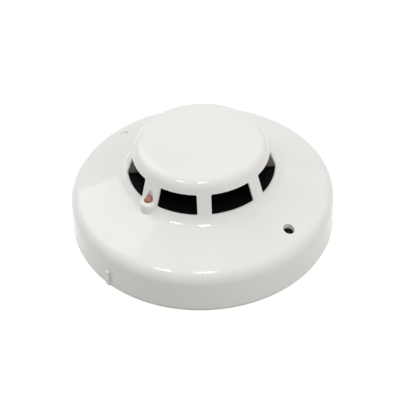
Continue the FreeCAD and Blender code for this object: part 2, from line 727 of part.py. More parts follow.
def make_cover_screws():
    """Self-tapping screws up through the chassis into the cover posts, as one group."""
    screws = Piece("cover_screws")
    seat = "cover_screw_seat"
    low, middle = f"{seat} - cover_screw_head", f"{seat} - cover_screw_head / 2"
    shank = [("post_ring", "0", "cover_screw_radius")]
    thread = screws.pad(shank, middle, f"{seat} + cover_screw_length", POST_TURN)
    head = screws.pad([("post_ring", "0", "cover_screw_head_radius")], low, seat, POST_TURN)
    plan = box("post_ring", "0", "2 * cover_screw_head_radius", "small_slot")
    slot = screws.cut([plan], low, middle, POST_TURN)
    screws.repeat([thread, head, slot], POSTS)
    return screws


def make_board_screws():
    """Screws that hold the circuit board to its standoffs, as one group."""
    screws = Piece("board_screws")
    middle, high = "board_top + board_screw_head / 2", "board_top + board_screw_head"
    shank = [("standoff_ring", "0", "board_screw_radius")]
    thread = screws.pad(shank, "board_top - board_screw_length", middle, STANDOFF_TURN)
    disc = [("standoff_ring", "0", "board_screw_head_radius")]
    head = screws.pad(disc, "board_top", high, STANDOFF_TURN)
    plan = box("standoff_ring", "0", "2 * board_screw_head_radius", "small_slot")
    slot = screws.cut([plan], middle, high, STANDOFF_TURN)
    screws.repeat([thread, head, slot], STANDOFFS)
    return screws


def make_lock_screw(label, side, turn):
    """Headless slotted screw that is driven down into the base to lock the head."""
    screw = Piece(label)
    top = "(lock_thread_bottom + lock_screw_length)"
    screw.turned(
        [
            ("0", "lock_tip_bottom"),
            ("lock_tip_radius", "lock_tip_bottom"),
            ("lock_tip_radius", "lock_thread_bottom"),
            ("lock_screw_radius", "lock_thread_bottom"),
            ("lock_screw_radius", top),
            ("0", top),
        ]
    )
    screw.soften("Chamfer", "lock_chamfer", full_circle("lock_screw_radius", top))
    plan = box("0", "0", "3 * lock_screw_radius", "lock_slot_width")
    screw.cut([plan], f"{top} - lock_slot_depth", top)
    screw.place(x=side, turn=turn)
    return screw


# ---------------------------------------------------------------- mounting base


def add_bayonet(base):
    """Ledges inside the collar that hold the lugs, each with its stop."""
    middle = "collar_radius - collar_wall / 2"
    ledge_section = band("ledge_inner", middle, "ledge_bottom", "collar_top")
    ledge = base.turned(ledge_section, arc="ledge_arc", turn="bayonet_azimuth")
    stop_turn = "bayonet_azimuth - (ledge_arc + stop_arc) / 2 + stop_overlap"
    stop_section = band("ledge_inner", middle, "base_plate / 2", "collar_top")
    stop = base.turned(stop_section, arc="stop_arc", turn=stop_turn)
    base.repeat([ledge, stop], LUGS)


def add_base_details(base):
    """Lock-screw sockets, terminal seats and fixing slots."""
    buried = "base_plate / 2"
    boss = base.pad([("lock_ring", "0", "socket_radius")], buried, "socket_top")
    hole = ("lock_ring", "0", "lock_screw_radius + screw_clearance")
    socket = base.cut([hole], "socket_top - socket_depth", "socket_top")
    base.repeat([boss, socket], 2)
    plan = box("terminal_ring", "0", "terminal_seat_length", "terminal_seat_width")
    seat = base.pad([plan], buried, "seat_top", TERMINAL_TURN)
    shank = ("terminal_ring", "0", "terminal_screw_radius + screw_clearance")
    floor = "clamp_top - terminal_shank - pilot_spare"
    relief = base.cut([shank], floor, "seat_top", TERMINAL_TURN)
    base.repeat([seat, relief], TERMINALS)
    half = "(slot_length - slot_width) / 2"
    slot = [
        [(f"slot_ring - {half}", "0", "slot_width / 2")],
        [(f"slot_ring + {half}", "0", "slot_width / 2")],
        [box("slot_ring", "0", f"2 * {half}", "slot_width")],
    ]
    base.repeat([base.cut(shape, "0", "base_plate") for shape in slot], FIXING_SLOTS)


def make_mounting_base():
    """Plate with the cable entry, the bayonet collar and its details."""
    base = Piece("mounting_base")
    rim = "(cable_entry_radius + cable_rim_wall)"
    rim_top = "(base_plate + cable_rim_height)"
    base.turned(
        [
            ("cable_entry_radius", "0"),
            ("cover_radius - lip_setback", "0"),
            ("cover_radius - lip_setback", "base_lip"),
            ("base_plate_radius", "base_lip"),
            ("base_plate_radius", "base_plate"),
            ("collar_radius", "base_plate"),
            ("collar_radius", "collar_top"),
            ("collar_inner", "collar_top"),
            ("collar_inner", "base_plate"),
            (rim, "base_plate"),
            (rim, rim_top),
            ("cable_entry_radius", rim_top),
        ]
    )
    add_bayonet(base)
    add_base_details(base)
    return base


def make_base_contact(label, azimuth):
    """Spring strip from the terminal to the crest that presses on the head's pad."""
    contact = Piece(label)
    crest = "(crest_top - strip_thickness)"
    inner = "(contact_ring - contact_crest / 2)"
    line = [
        ("terminal_ring + terminal_seat_length / 2", "seat_top"),
        ("terminal_ring - clamp_side / 2 - contact_bend_gap", "seat_top"),
        ("contact_ring + contact_crest / 2", crest),
        (inner, crest),
        (f"{inner} - contact_tip", f"{crest} - contact_tip_drop"),
    ]
    above = [(x, f"{z} + strip_thickness") for x, z in reversed(line)]
    contact.across([line + above], "strip_width")
    hole = ("terminal_ring", "0", "terminal_screw_radius + screw_clearance")
    contact.cut([hole], "seat_top - strip_thickness", "strip_top")
    contact.place(turn=azimuth)
    return contact


def make_terminal_clamp(label, azimuth):
    """Square washer with turned-up edges under the terminal screw."""
    clamp = Piece(label)
    side = "clamp_side"
    clamp.pad([box("terminal_ring", "0", side, side)], "strip_top", "clamp_top")
    for sign in ("-", ""):
        middle = f"{sign}(clamp_side - clamp_lip_width) / 2"
        edge = box("terminal_ring", middle, side, "clamp_lip_width")
        clamp.pad([edge], "strip_top", "clamp_top + clamp_lip")
    hole = ("terminal_ring", "0", "terminal_screw_radius + screw_clearance")
    clamp.cut([hole], "strip_top", "clamp_top")
    clamp.place(turn=azimuth)
    return clamp


def make_terminal_screw(label, azimuth):
    """Pan-head screw with a cross slot."""
    screw = Piece(label)
    top = "(clamp_top + terminal_head)"
    shank = [("terminal_ring", "0", "terminal_screw_radius")]
    screw.pad(shank, "clamp_top - terminal_shank", "clamp_top")
    screw.pad([("terminal_ring", "0", "terminal_head_radius")], "clamp_top", top)
    top_height = value(top)

    def rim(edge):
        return abs(edge.BoundBox.ZMin - top_height) < 1e-6 and isinstance(edge.Curve, Part.Circle)

    screw.soften("Fillet", "terminal_head / 3", rim)
    for length, width in (
        ("3 * terminal_head_radius", "driver_slot"),
        ("driver_slot", "terminal_head_radius"),
    ):
        plan = box("terminal_ring", "0", length, width)
        screw.cut([plan], f"{top} - driver_slot_depth", top)
    screw.place(turn=azimuth)
    return screw


# ---------------------------------------------------------------- circuit board


def make_circuit_board():
    """Round board with holes for its screws, the contact pins and the leads."""
    board = Piece("circuit_board")
    low, high = "board_bottom", "board_top"
    board.pad([("0", "0", "board_radius")], low, high)
    screw = [("standoff_ring", "0", "board_screw_radius + screw_clearance")]
    board.repeat([board.cut(screw, low, high, STANDOFF_TURN)], STANDOFFS)
    pin = [("contact_ring", "0", "pin_radius + lead_gap")]
    board.repeat([board.cut(pin, low, high, TERMINAL_TURN)], TERMINALS)
    board.cut(lead_pair("0", "lead_radius + lead_gap"), low, high)
    board.cut(lead_pair("-led_ring", "lead_radius + lead_gap"), low, high)
    return board


def lead_pair(y, radius):
    """Circles of two leads that stand side by side."""
    return [(f"{sign}lead_pitch / 2", y, radius) for sign in ("-", "")]


def make_head_contact(label, azimuth):
    """Flat pad under the chassis floor with a pin up to the board."""
    contact = Piece(label)
    plan = box("contact_ring", "0", "pad_length", "pad_width")
    contact.pad([plan], "pad_bottom", "floor_bottom")
    contact.pad([("contact_ring", "0", "pin_radius")], "pad_bottom", "pin_top")
    contact.place(turn=azimuth)
    return contact


def make_chip(label, name, spot, legs):
    """Moulded package with a row of legs on each long side."""
    chip = Piece(label)
    length, width = f"{name}_length", f"{name}_width"
    bottom = "board_top + package_lift"
    chip.pad([box("0", "0", length, width)], bottom, f"{bottom} + {name}_height")
    pitch = f"{length} / {legs}"
    for leg in range(legs):
        x = f"({leg} + 0.5) * {pitch} - {length} / 2"
        plan = box(x, "0", f"{pitch} * 0.4", f"{width} + 2 * leg_reach")
        chip.pad([plan], "board_top", f"{bottom} + {name}_height / 2")
    chip.place(*spot)
    return chip


def make_blocks(label, name, spots):
    """Small surface-mounted parts that share one node."""
    blocks = Piece(label)
    plans = [box(x, y, f"{name}_length", f"{name}_width") for x, y in spots]
    blocks.pad(plans, "board_top", f"board_top + {name}_height")
    return blocks


def make_round_part(label, name, spot, rounding):
    """Upright round part on the board with a softened top edge."""
    part = Piece(label)
    top = f"(board_top + {name}_height)"
    part.pad([("0", "0", f"{name}_radius")], "board_top", top)
    part.soften("Fillet", rounding, full_circle(f"{name}_radius", top))
    part.place(*spot)
    return part


def make_varistor(spot):
    """Disc that stands on edge on the board."""
    disc = Piece("surge_varistor")
    disc.across([("0", "board_top + varistor_radius", "varistor_radius")], "varistor_thickness")
    disc.place(*spot)
    return disc


# ---------------------------------------------------------------- air guide and sensing


def make_air_guide():
    """Deck under the windows on a round wall, with a fin behind every second pillar."""
    guide = Piece("air_guide")
    guide.turned(
        [
            ("0", "deck_bottom"),
            ("can_inner", "deck_bottom"),
            ("can_inner", "board_top"),
            ("can_radius", "board_top"),
            ("can_radius", "deck_bottom"),
            ("deck_radius", "deck_bottom"),
            ("deck_radius", "deck_top"),
            ("nose_radius", "deck_top"),
            ("nose_radius", "nose_top"),
            ("0", "nose_top"),
        ]
    )
    guide.soften("Fillet", "nose_radius / 4", full_circle("nose_radius", "nose_top"))
    inner, low = "(screen_radius + screen_clearance)", "(deck_top - deck_thickness / 2)"
    fin = [
        (inner, low),
        ("deck_radius", low),
        ("deck_radius", "deck_top"),
        ("fin_outer_top", "fin_top"),
        (inner, "fin_top"),
    ]
    for step in range(1, WINDOWS, 2):
        guide.across([fin], "pillar_width", 360 * step / WINDOWS)
    notch = [("0", "-led_ring", "led_boss_radius + deck_notch_gap")]
    guide.cut(notch, "deck_bottom", "led_boss_top + deck_notch_gap")
    guide.cut(lead_pair("0", "lead_radius + lead_gap"), "deck_bottom", "nose_top")
    return guide


def make_screen_ring():
    """Ring with narrow upright slots that keeps insects out of the air space."""
    screen = Piece("screen_ring")
    inner = "(screen_radius - screen_thickness)"
    screen.turned(band(inner, "screen_radius", "deck_top", "screen_top"))
    plan = box("screen_radius", "0", "3 * screen_thickness", "screen_slot")
    slot = screen.cut([plan], "deck_top + screen_rim", "screen_top - screen_rim")
    screen.repeat([slot], SCREEN_SLOTS)
    return screen


def make_thermistor():
    """Bead of the thermistor, with its tip more rounded than its foot."""
    bead = Piece("thermistor_bead")
    top = "(bead_bottom + bead_height)"
    bead.pad([("0", "0", "bead_radius")], "bead_bottom", top)
    for height, rounding in ((top, "bead_radius * 0.9"), ("bead_bottom", "bead_radius * 0.4")):
        bead.soften("Fillet", rounding, full_circle("bead_radius", height))
    return bead


def make_leads(label, y, top):
    """Two straight wires from under the board."""
    leads = Piece(label)
    leads.pad(lead_pair(y, "lead_radius"), "lead_bottom", top)
    return leads


def make_indicator():
    """Round lamp body with a domed tip and a rim at its foot."""
    lamp = Piece("indicator_led")
    lamp.turned(
        [
            ("0", "led_bottom"),
            ("led_flange_radius", "led_bottom"),
            ("led_flange_radius", "led_bottom + led_flange"),
            ("led_radius", "led_bottom + led_flange"),
            ("led_radius", "led_top"),
            ("0", "led_top"),
        ]
    )
    lamp.soften("Fillet", "led_radius * 0.9", full_circle("led_radius", "led_top"))
    lamp.place(y="-led_ring")
    return lamp


def make_led_spacer():
    """Tube that holds the indicator above the board, open inside for its two leads."""
    spacer = Piece("led_spacer")
    spacer.pad([("0", "0", "led_flange_radius")], "board_top", "led_bottom")
    spacer.cut(lead_pair("0", "lead_radius + lead_gap"), "board_top", "led_bottom")
    spacer.place(y="-led_ring")
    return spacer


# ---------------------------------------------------------------- assembly


def spot(ring, azimuth):
    """Place on the board on a ring, at an azimuth in degrees."""
    return f"{ring} * cos({azimuth} deg)", f"{ring} * sin({azimuth} deg)"


def outer_spots(azimuths):
    return [spot("outer_parts_ring", azimuth) for azimuth in azimuths]


def make_board_parts():
    """Packages inside the air guide's wall, and small parts outside it."""
    inside = "inner_parts_ring"
    return [
        make_chip("microcontroller", "controller", spot(inside, 270), 7),
        make_chip("bridge_rectifier", "rectifier", spot(inside, 150), 2),
        make_round_part("filter_capacitor", "capacitor", spot(inside, 30), "capacitor_round"),
        make_round_part("reference_thermistor", "reference", spot(inside, 210), "reference_radius / 2"),
        make_varistor(spot(inside, 90)),
        make_blocks("resistors", "resistor", outer_spots((5, 16, 27, 38, 60, 71, 128, 139, 161, 172))),
        make_blocks("ceramic_capacitors", "ceramic", outer_spots((49, 116, 150, 200, 240, 290))),
        make_blocks("transistors", "transistor", outer_spots((186, 306, 351))),
    ]


def make_assembly():
    pieces = [make_outer_cover(), make_chassis(), make_mounting_base()]
    pieces += [make_cover_screws(), make_board_screws(), make_circuit_board()]
    pieces.append(make_lock_screw("lock_screw_1", "lock_ring", "lock_slot_turn"))
    pieces.append(make_lock_screw("lock_screw_2", "-lock_ring", "lock_slot_turn + 180"))
    for number in range(TERMINALS):
        azimuth = str(TERMINAL_TURN + 360 * number / TERMINALS)
        pieces.append(make_base_contact(f"base_contact_{number + 1}", azimuth))
        pieces.append(make_terminal_clamp(f"terminal_clamp_{number + 1}", azimuth))
        pieces.append(make_terminal_screw(f"terminal_screw_{number + 1}", azimuth))
        pieces.append(make_head_contact(f"head_contact_{number + 1}", azimuth))
    pieces += [make_air_guide(), make_screen_ring(), make_thermistor()]
    pieces.append(make_leads("thermistor_leads", "0", "bead_bottom"))
    pieces += [make_indicator(), make_led_spacer()]
    pieces.append(make_leads("led_leads", "-led_ring", "led_bottom"))
    return pieces + make_board_parts()


def check(pieces):
    """Stops on a failed feature or a null or invalid shape."""
    doc.recompute()
    failed = [o.Label for o in doc.Objects if {"Invalid", "Error"} & set(o.State)]
    if failed:
        raise RuntimeError(f"failed objects: {failed}")
    for piece in pieces:
        shape = piece.body.Shape
        if shape.isNull() or not shape.isValid() or not shape.Solids:
            raise RuntimeError(f"{piece.body.Label}: bad shape")


def main():
    pieces = make_assembly()
    check(pieces)
    os.makedirs("parts", exist_ok=True)
    for piece in pieces:
        piece.body.Shape.exportStep(f"parts/{piece.body.Label}.step")
        print(piece.body.Label, len(piece.body.Shape.Solids), round(piece.body.Shape.Volume, 1))


main()
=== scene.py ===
"""Dressed model of a heat detector on its twist-lock base: finishes, screen, light, camera."""

import json
import math

import bpy
from mathutils import Matrix, Vector


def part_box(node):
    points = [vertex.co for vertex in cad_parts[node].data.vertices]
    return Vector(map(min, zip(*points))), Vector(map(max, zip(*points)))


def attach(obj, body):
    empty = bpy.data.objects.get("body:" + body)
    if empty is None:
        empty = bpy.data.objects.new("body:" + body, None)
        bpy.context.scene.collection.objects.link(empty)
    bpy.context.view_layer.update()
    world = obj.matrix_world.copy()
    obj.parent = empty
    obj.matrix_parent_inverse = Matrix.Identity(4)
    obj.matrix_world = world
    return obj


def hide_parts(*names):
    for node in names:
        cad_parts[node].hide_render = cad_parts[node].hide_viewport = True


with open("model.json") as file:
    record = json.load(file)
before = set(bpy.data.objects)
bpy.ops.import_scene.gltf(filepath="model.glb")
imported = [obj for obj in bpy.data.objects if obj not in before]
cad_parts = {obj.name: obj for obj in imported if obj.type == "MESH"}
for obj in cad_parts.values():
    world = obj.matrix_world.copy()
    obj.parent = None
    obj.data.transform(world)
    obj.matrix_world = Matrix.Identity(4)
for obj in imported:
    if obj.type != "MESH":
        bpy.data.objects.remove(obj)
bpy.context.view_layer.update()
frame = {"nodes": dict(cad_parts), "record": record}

MM = 0.001

# ---------------------------------------------------------------- node tree helpers


class Tree:
    """A node tree being wired up, for a material, a world or a geometry modifier."""

    def __init__(self, tree):
        self.tree = tree

    def fill(self, node, values):
        """Fills a node's sockets, by name or number, each with a constant or a link."""
        for key, given in values.items():
            socket = node.inputs[key]
            if isinstance(given, bpy.types.NodeSocket):
                self.tree.links.new(given, socket)
            else:
                socket.default_value = given

    def add(self, kind, values=None, **settings):
        """Adds a node with these settings and fills its sockets."""
        node = self.tree.nodes.new(kind)
        for name, setting in settings.items():
            setattr(node, name, setting)
        self.fill(node, values or {})
        return node

    def calc(self, operation, a, b=0.0):
        """Result of one sum on one or two values."""
        return self.add("ShaderNodeMath", {0: a, 1: b}, operation=operation).outputs[0]

    def vector(self, **parts):
        """Vector from its parts X, Y and Z; a part left out is 0."""
        return self.add("ShaderNodeCombineXYZ", parts).outputs[0]

    def noise(self, place, scale, detail):
        """Cloudy grey from 0 to 1; scale is in clouds per metre."""
        values = {"Vector": place, "Scale": scale, "Detail": detail}
        return self.add("ShaderNodeTexNoise", values).outputs["Fac"]

    def ramp(self, fac, low, high, colour_low, colour_high):
        """Colour that goes from one to the other as fac goes from low to high."""
        node = self.add("ShaderNodeValToRGB", {"Fac": fac})
        first, last = node.color_ramp.elements
        first.position, last.position = low, high
        first.color, last.color = (*colour_low, 1), (*colour_high, 1)
        return node.outputs["Color"]

    def span(self, given, low, high, to_low, to_high):
        """Value mapped from one range to another and held inside it."""
        values = {"Value": given, 1: low, 2: high, 3: to_low, 4: to_high}
        return self.add("ShaderNodeMapRange", values).outputs["Result"]

    def bump(self, height, strength, distance):
        """Surface direction disturbed by a height, distance in metres."""
        values = {"Height": height, "Strength": strength, "Distance": distance}
        return self.add("ShaderNodeBump", values).outputs["Normal"]


def new_material(name):
    """Material with its tree, its shader and the place on the piece, in metres."""
    material = bpy.data.materials.new(name)
    material.use_nodes = True
    tree = Tree(material.node_tree)
    shader = material.node_tree.nodes["Principled BSDF"]
    place = tree.add("ShaderNodeTexCoord").outputs["Object"]
    return material, tree, shader, place


def shade(colour, factor):
    """Colour made darker or lighter, at most white."""
    return tuple(min(1.0, channel * factor) for channel in colour)


# ---------------------------------------------------------------- finishes

# Most of a noise lies between these two
NOISE_LOW, NOISE_HIGH = 0.3, 0.7

FLOW_SCALE, FLOW_LOW, FLOW_HIGH = 28.0, 0.35, 0.65
FLOW_DARK, FLOW_LIGHT = 0.985, 1.01
POLISH_SCALE, POLISH_SWING = 160.0, 0.14
PIT_SCALE, PIT_STRENGTH, PIT_DEPTH = 2600.0, 0.12, 0.02 * MM
PLASTIC_IOR = 1.53
PLASTIC_SCATTER = (1.2 * MM, 1.1 * MM, 0.9 * MM)


def moulded_plastic(name, colour, roughness, grain=0.0, sheen=0.5, scatter=0.0):
    """Injection-moulded plastic: faint flow marks in its colour, uneven polish, fine grain."""
    material, tree, shader, place = new_material(name)
    flow = tree.noise(place, FLOW_SCALE, detail=4.0)
    dark, light = shade(colour, FLOW_DARK), shade(colour, FLOW_LIGHT)
    polish = tree.noise(place, POLISH_SCALE, detail=6.0)
    smooth, rough = roughness * (1 - POLISH_SWING), roughness * (1 + POLISH_SWING)
    pits = tree.noise(place, PIT_SCALE, detail=3.0)
    surface = {
        "Base Color": tree.ramp(flow, FLOW_LOW, FLOW_HIGH, dark, light),
        "Roughness": tree.span(polish, NOISE_LOW, NOISE_HIGH, smooth, rough),
        "Normal": tree.bump(pits, PIT_STRENGTH + grain, PIT_DEPTH),
        "IOR": PLASTIC_IOR,
        "Specular IOR Level": sheen,
        "Subsurface Weight": scatter,
        "Subsurface Radius": PLASTIC_SCATTER,
        "Subsurface Scale": 1.0,
    }
    tree.fill(shader, surface)
    return material


ERODED_SCALE, ERODED_SWING = 1900.0, 0.15
ERODED_STRENGTH, ERODED_DEPTH = 0.4, 0.03 * MM
ERODED_SHEEN = 0.08
# How much of a face's direction is up or down when it counts as upright, and as level, for the
# painted light on the guide's upright faces
UPRIGHT, LEVEL = 0.3, 0.7


def guide_plastic_painted_light(name, deck, fins_painted_light, roughness):
    """Matt, spark-eroded moulding, near black on its level faces, with its upright faces painted
    lighter as painted light.
    """
    material, tree, shader, place = new_material(name)
    facing = tree.add("ShaderNodeNewGeometry").outputs["True Normal"]
    rise = tree.add("ShaderNodeSeparateXYZ", {"Vector": facing}).outputs["Z"]
    grain = tree.noise(place, ERODED_SCALE, detail=4.0)
    smooth, rough = roughness * (1 - ERODED_SWING), roughness * (1 + ERODED_SWING)
    surface = {
        # Painted light: upright faces take the lighter tone, level faces the near-black deck
        # tone
        "Base Color": tree.ramp(tree.calc("ABSOLUTE", rise), UPRIGHT, LEVEL, fins_painted_light, deck),
        "Roughness": tree.span(grain, NOISE_LOW, NOISE_HIGH, smooth, rough),
        "Normal": tree.bump(grain, ERODED_STRENGTH, ERODED_DEPTH),
        "Specular IOR Level": ERODED_SHEEN,
    }
    tree.fill(shader, surface)
    return material


PLATING_SCALE, PLATING_DARK, PLATING_LIGHT = 420.0, 0.82, 1.08
STREAK_SCALE, STREAK_SWING = 4.0, 0.3
STREAK_STRENGTH, STREAK_DEPTH = 0.25, 0.01 * MM
# How finely the streaks repeat along X, Y and Z; they run along the coarse one
STREAKS_ALONG_X = (60.0, 900.0, 900.0)
STREAKS_ALONG_Y = (900.0, 60.0, 900.0)
STREAKS_ALONG_Z = (900.0, 900.0, 60.0)


def worked_metal(name, colour, roughness, streaks=STREAKS_ALONG_Z):
    """Plated or drawn metal with fine streaks and slightly cloudy plating."""
    material, tree, shader, place = new_material(name)
    cloud = tree.noise(place, PLATING_SCALE, detail=5.0)
    dark, light = shade(colour, PLATING_DARK), shade(colour, PLATING_LIGHT)
    stretch = tree.add("ShaderNodeMapping", {"Vector": place, "Scale": streaks})
    lines = tree.noise(stretch.outputs["Vector"], STREAK_SCALE, detail=4.0)
    smooth, rough = roughness * (1 - STREAK_SWING), roughness * (1 + STREAK_SWING)
    surface = {
        "Base Color": tree.ramp(cloud, NOISE_LOW, NOISE_HIGH, dark, light),
        "Roughness": tree.span(lines, NOISE_LOW, NOISE_HIGH, smooth, rough),
        "Normal": tree.bump(lines, STREAK_STRENGTH, STREAK_DEPTH),
        "Metallic": 1.0,
    }
    tree.fill(shader, surface)
    return material


MILK_SCALE, MILK_DARK, MILK_LIGHT = 700.0, 0.93, 1.05
LENS_SMOOTH, LENS_ROUGH = 0.16, 0.24
EPOXY_IOR = 1.54
EPOXY_SCATTER = (1.6 * MM, 0.6 * MM, 0.5 * MM)
EPOXY_SCATTER_WEIGHT = 0.6


def lamp_epoxy(name, colour):
    """Diffused red epoxy of the indicator, milky and a little see-through."""
    material, tree, shader, place = new_material(name)
    milk = tree.noise(place, MILK_SCALE, detail=3.0)
    dark, light = shade(colour, MILK_DARK), shade(colour, MILK_LIGHT)
    surface = {
        "Base Color": tree.ramp(milk, NOISE_LOW, NOISE_HIGH, dark, light),
        "Roughness": tree.span(milk, NOISE_LOW, NOISE_HIGH, LENS_SMOOTH, LENS_ROUGH),
        "IOR": EPOXY_IOR,
        "Subsurface Weight": EPOXY_SCATTER_WEIGHT,
        "Subsurface Radius": EPOXY_SCATTER,
        "Subsurface Scale": 1.0,
    }
    tree.fill(shader, surface)
    return material


TRACK_TURN = math.radians(45)
TRACKS = {
    "Scale": 240.0,
    "Mortar Size": 0.09,
    "Mortar Smooth": 0.2,
    "Brick Width": 1.9,
    "Row Height": 0.42,
    "Color1": (0.012, 0.105, 0.038, 1),
    "Color2": (0.014, 0.12, 0.044, 1),
    "Mortar": (0.03, 0.21, 0.075, 1),
}
TRACK_STRENGTH, TRACK_DEPTH = 0.5, 0.04 * MM
MASK_ROUGH, MASK_SMOOTH = 0.34, 0.26
PAD_SCALE, PAD_SIZE = 230.0, 0.16
PAD_TIN = (0.62, 0.6, 0.54, 1)


def circuit_board(name):
    """Green solder mask over copper tracks, with bare tinned pads."""
    material, tree, shader, place = new_material(name)
    turn = tree.add("ShaderNodeMapping", {"Vector": place, "Rotation": (0, 0, TRACK_TURN)})
    tracks = tree.add("ShaderNodeTexBrick", {"Vector": turn.outputs["Vector"], **TRACKS}).outputs
    cells = tree.add("ShaderNodeTexVoronoi", {"Vector": place, "Scale": PAD_SCALE})
    pads = tree.calc("LESS_THAN", cells.outputs["Distance"], PAD_SIZE)
    tones = {"Factor": pads, 6: tracks["Color"], 7: PAD_TIN}
    surface = {
        "Base Color": tree.add("ShaderNodeMix", tones, data_type="RGBA").outputs[2],
        "Roughness": tree.span(tracks["Fac"], 0.0, 1.0, MASK_ROUGH, MASK_SMOOTH),
        "Normal": tree.bump(tracks["Fac"], TRACK_STRENGTH, TRACK_DEPTH),
    }
    tree.fill(shader, surface)
    return material


COVER_WHITE = (0.836, 0.83, 0.803)
BASE_WHITE = (0.76, 0.755, 0.73)
CHASSIS_WHITE = (0.74, 0.735, 0.71)
# The deck tone is the guide's near-black; the lighter tone is painted light for its upright
# faces
GUIDE_DECK, GUIDE_FINS_PAINTED_LIGHT = (0.002, 0.0018, 0.0022), (0.26, 0.23, 0.2)
SCREEN_BLACK = (0.0012, 0.0011, 0.0013)
BEAD_BROWN = (0.035, 0.02, 0.015)
NYLON = (0.66, 0.65, 0.6)
PACKAGE_BLACK = (0.02, 0.02, 0.022)
VARISTOR_BLUE = (0.03, 0.09, 0.34)
CERAMIC_TAN = (0.36, 0.25, 0.15)
LENS_RED = (0.43, 0.158, 0.122)
TIN = (0.72, 0.71, 0.68)
BRONZE = (0.72, 0.52, 0.28)
CLAMP_ZINC = (0.66, 0.65, 0.62)
SCREW_ZINC = (0.62, 0.61, 0.59)
ALUMINIUM = (0.68, 0.68, 0.7)

# Each finish by its slot, from a name, a colour and a roughness
finishes = {
    "cover_plastic": moulded_plastic("cover_abs", COVER_WHITE, 0.09, scatter=0.05),
    "base_plastic": moulded_plastic("base_abs", BASE_WHITE, 0.38, grain=0.1),
    "chassis_plastic": moulded_plastic("chassis_abs", CHASSIS_WHITE, 0.42, grain=0.1),
    # The guide's upright faces carry painted light
    "black_plastic": guide_plastic_painted_light("guide_abs_painted_light", GUIDE_DECK, GUIDE_FINS_PAINTED_LIGHT, 0.6),
    "screen_black": moulded_plastic("screen_abs", SCREEN_BLACK, 0.65, grain=0.3, sheen=0.03),
    "led_red": lamp_epoxy("indicator_epoxy", LENS_RED),
    "thermistor_epoxy": moulded_plastic("bead_epoxy", BEAD_BROWN, 0.3, grain=0.2),
    "tinned_wire": worked_metal("tinned_wire", TIN, 0.25),
    "contact_bronze": worked_metal("spring_bronze", BRONZE, 0.3, STREAKS_ALONG_X),
    "clamp_steel": worked_metal("plated_clamp", CLAMP_ZINC, 0.34, STREAKS_ALONG_Y),
    "screw_steel": worked_metal("plated_screw", SCREW_ZINC, 0.3),
    "board_green": circuit_board("solder_mask"),
    "spacer_plastic": moulded_plastic("spacer_nylon", NYLON, 0.45, grain=0.1),
    "component_black": moulded_plastic("package_epoxy", PACKAGE_BLACK, 0.5, grain=0.4),
    "capacitor_can": worked_metal("drawn_can", ALUMINIUM, 0.28),
    "varistor_blue": moulded_plastic("varistor_dip", VARISTOR_BLUE, 0.35, grain=0.5),
    "ceramic_tan": moulded_plastic("ceramic_chip", CERAMIC_TAN, 0.5, grain=0.3),
}

for piece in frame["record"]["subparts"]:
    dressed = frame["nodes"][piece["node"]].data.materials
    dressed.clear()
    dressed.append(finishes[piece["material_slot"]])

# ---------------------------------------------------------------- insect screen

SCREEN_BARS = 128
SCREEN_THICKNESS = 0.7 * MM
SCREEN_RIM = 0.8 * MM
SCREEN_BAR_WIDTH = 0.42 * MM
SCREEN_RIM_STEPS = 192
# Share of the screen's thickness that a bar takes
SCREEN_BAR_DEPTH = 0.7

SCREEN_INPUTS = {
    "Outer Radius": "NodeSocketFloat",
    "Thickness": "NodeSocketFloat",
    "Bottom": "NodeSocketFloat",
    "Top": "NodeSocketFloat",
    "Rim": "NodeSocketFloat",
    "Bars": "NodeSocketInt",
    "Bar Width": "NodeSocketFloat",
    "Rim Steps": "NodeSocketInt",
    "Finish": "NodeSocketMaterial",
}


def new_geometry_tree(name, sizes):
    """Geometry Nodes tree with one named input per size, with its inputs and its output."""
    group = bpy.data.node_groups.new(name, "GeometryNodeTree")
    for label, kind in sizes.items():
        group.interface.new_socket(label, in_out="INPUT", socket_type=kind)
    group.interface.new_socket("Geometry", in_out="OUTPUT", socket_type="NodeSocketGeometry")
    tree = Tree(group)
    return tree, tree.add("NodeGroupInput").outputs, tree.add("NodeGroupOutput")


def screen_bars(tree, given, middle):
    """Upright bars evenly round a circle, each with a broad side outwards."""
    height = tree.calc("SUBTRACT", given["Top"], given["Bottom"])
    centre = tree.calc("ADD", given["Bottom"], tree.calc("MULTIPLY", height, 0.5))
    depth = tree.calc("MULTIPLY", given["Thickness"], SCREEN_BAR_DEPTH)
    length = tree.calc("SUBTRACT", height, tree.calc("MULTIPLY", given["Rim"], 0.5))
    size = tree.vector(X=depth, Y=given["Bar Width"], Z=length)
    ring = tree.add("GeometryNodeMeshCircle", {"Vertices": given["Bars"], "Radius": middle})
    outward = {"Vector": tree.add("GeometryNodeInputPosition").outputs[0]}
    turn = tree.add("FunctionNodeAlignEulerToVector", outward, axis="X")
    bars = {
        "Points": ring.outputs["Mesh"],
        "Instance": tree.add("GeometryNodeMeshCube", {"Size": size}).outputs["Mesh"],
        "Rotation": turn.outputs["Rotation"],
    }
    stood = tree.add("GeometryNodeInstanceOnPoints", bars).outputs["Instances"]
    lifted = {"Geometry": stood, "Translation": tree.vector(Z=centre)}
    return tree.add("GeometryNodeTransform", lifted).outputs[0]


def screen_rims(tree, given, middle):
    """Two closed rims, one at each end of the bars."""
    path = {"Resolution": given["Rim Steps"], "Radius": middle}
    section = {"Width": given["Thickness"], "Height": given["Rim"]}
    swept = {
        "Curve": tree.add("GeometryNodeCurvePrimitiveCircle", path).outputs["Curve"],
        "Profile Curve": tree.add(
            "GeometryNodeCurvePrimitiveQuadrilateral", section
        ).outputs["Curve"],
    }
    rim = tree.add("GeometryNodeCurveToMesh", swept).outputs["Mesh"]
    half = tree.calc("MULTIPLY", given["Rim"], 0.5)
    rims = []
    for edge, inwards in ((given["Bottom"], "ADD"), (given["Top"], "SUBTRACT")):
        level = tree.calc(inwards, edge, half)
        placed = {"Geometry": rim, "Translation": tree.vector(Z=level)}
        rims.append(tree.add("GeometryNodeTransform", placed).outputs[0])
    return rims


